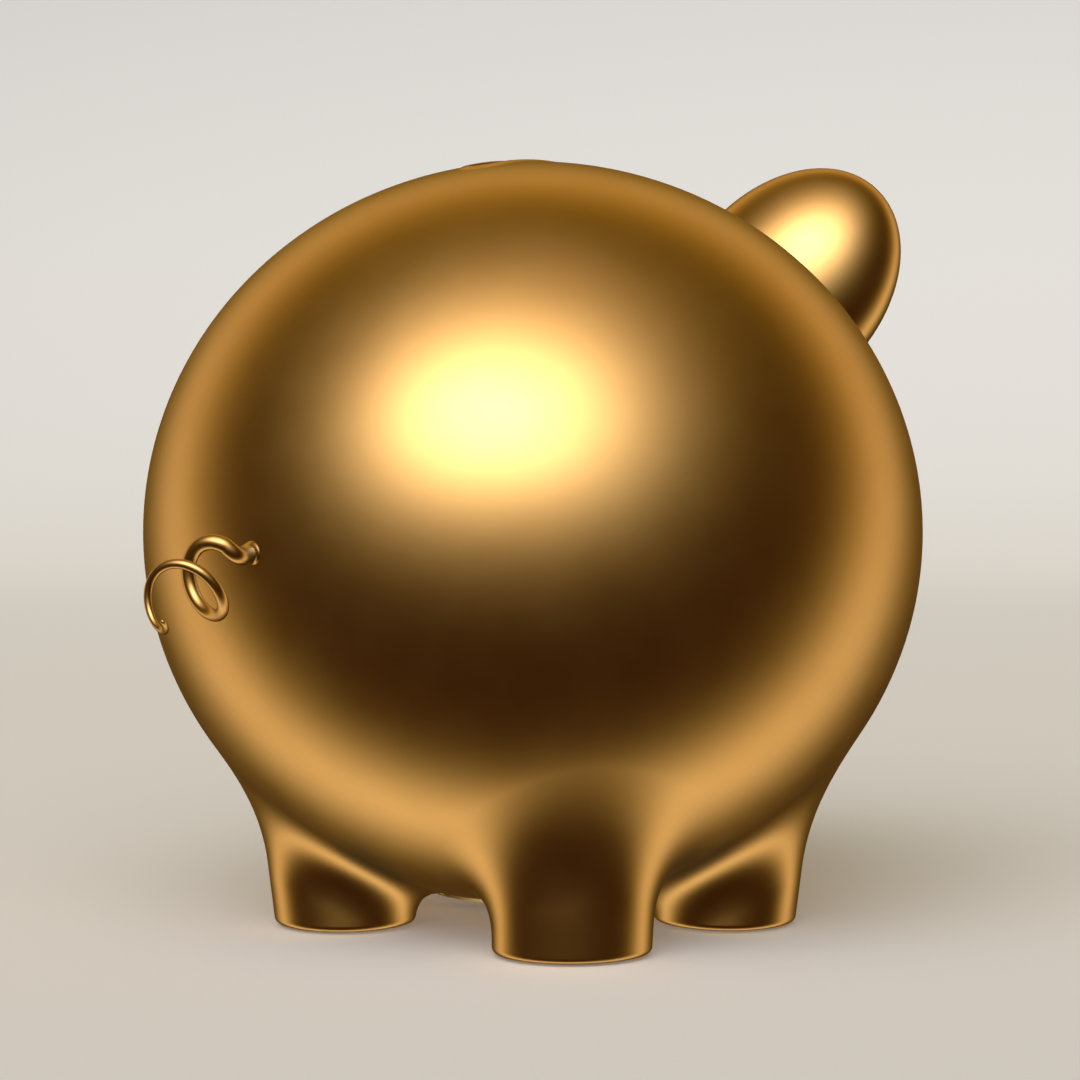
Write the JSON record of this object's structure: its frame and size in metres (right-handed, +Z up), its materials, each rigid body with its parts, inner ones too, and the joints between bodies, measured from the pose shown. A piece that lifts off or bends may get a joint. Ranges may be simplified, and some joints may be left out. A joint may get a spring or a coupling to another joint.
{
  "type": "piggy bank",
  "caption": "Ball-shaped metal piggy bank with a coin slot in the back, oval ears, a curly tail, short legs and a screw plug in the belly.",
  "frame": {"origin": "on the floor, under the middle of the round body, between the four feet", "axes": "+X towards the snout, +Y towards the pig's left side, +Z up"},
  "size_m": [0.2115, 0.16, 0.158],
  "materials": {
    "polished_gold": "satin-polished gold plate",
    "plain_brass": "turned brass",
    "black_rubber": "matt",
    "zinc_steel": "zinc plated"
  },
  "bodies": {
    "bank": {"shell_right": "polished_gold", "shell_left": "polished_gold", "slot_rim": "polished_gold", "ear_right": "polished_gold", "ear_left": "polished_gold", "snout": "polished_gold", "eye_right": "polished_gold", "eye_left": "polished_gold", "tail": "polished_gold", "belly_ring": "plain_brass", "foot_pad_front_right": "black_rubber", "foot_pad_front_left": "black_rubber", "foot_pad_rear_right": "black_rubber", "foot_pad_rear_left": "black_rubber", "ear_washer_right": "zinc_steel", "ear_washer_left": "zinc_steel", "ear_nut_right": "zinc_steel", "ear_nut_left": "zinc_steel", "snout_washer": "zinc_steel", "snout_nut": "zinc_steel", "tail_washer": "zinc_steel", "tail_nut": "zinc_steel"},
    "plug_seal": {"plug_seal": "black_rubber"},
    "belly_plug": {"belly_plug": "polished_gold"}
  },
  "joints": [
    {"name": "plug_travel", "type": "slide", "parent": "bank", "child": "plug_seal", "axis": [0, 0, -1], "range_m": [0, 0.004]},
    {"name": "plug_turn", "type": "hinge", "parent": "plug_seal", "child": "belly_plug", "pos_m": [0, 0, 0.0068], "axis": [0, 0, -1], "range_deg": [0, 720]}
  ],
  "couplings": [
    {"joint": "plug_turn", "follows": "plug_travel", "rad_per_m": 3141.6}
  ]
}
